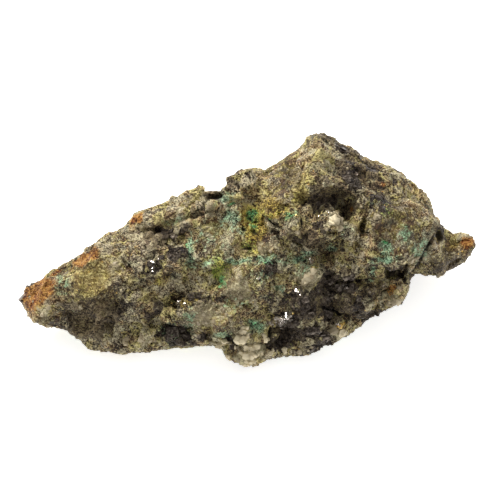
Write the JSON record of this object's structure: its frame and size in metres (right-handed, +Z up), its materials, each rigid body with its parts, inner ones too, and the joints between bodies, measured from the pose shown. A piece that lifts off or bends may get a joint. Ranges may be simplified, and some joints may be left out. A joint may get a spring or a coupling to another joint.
{
  "type": "gold ore rock specimen",
  "caption": "Broken wedge-shaped lump of dark copper-stained quartz ore with sulphide and small gold grains, for display or study.",
  "frame": {"origin": "middle of the bounding box in X and Y, on the ground that the stone rests on", "axes": "+X along the stone's length, from its thin left end to the tongue at its right end; +Z up from the underside it rests on; the broken face looks towards -Y and up"},
  "size_m": [0.1132, 0.0558, 0.0429],
  "materials": {
    "ore": "rough, hackly, with small glossy grains",
    "quartz": "glassy broken grains",
    "sulphide": "cleaved, metallic",
    "gold": "small bright flakes"
  },
  "bodies": {
    "root": {"gold_quartz_rock": "ore"}
  },
  "joints": []
}
